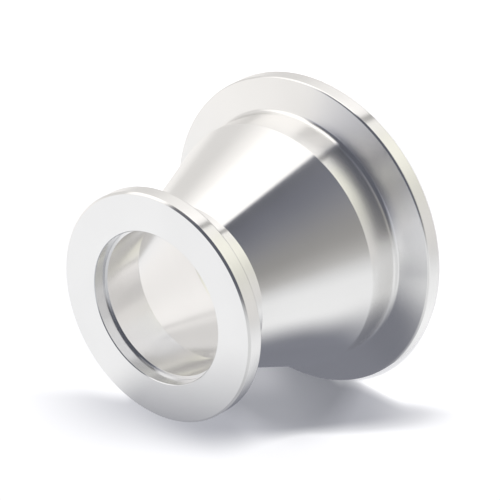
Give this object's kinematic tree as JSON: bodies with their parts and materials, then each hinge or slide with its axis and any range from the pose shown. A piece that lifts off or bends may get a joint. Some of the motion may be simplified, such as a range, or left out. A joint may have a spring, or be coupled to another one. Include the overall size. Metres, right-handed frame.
{
  "type": "conical reducer",
  "caption": "Hollow turned cone that joins a large clamp flange to a small one, with recessed flat sealing faces and tapered flange backs.",
  "frame": {"origin": "centre of the large sealing face, which the part stands on", "axes": "+Z along the axis of the passage, from the large end to the small end; +X and +Y are free, because the part is turned"},
  "size_m": [0.055, 0.055, 0.04],
  "materials": {
    "polished_steel": "fine turned and polished stainless steel"
  },
  "bodies": {
    "root": {"reducer_body": "polished_steel"}
  },
  "joints": []
}
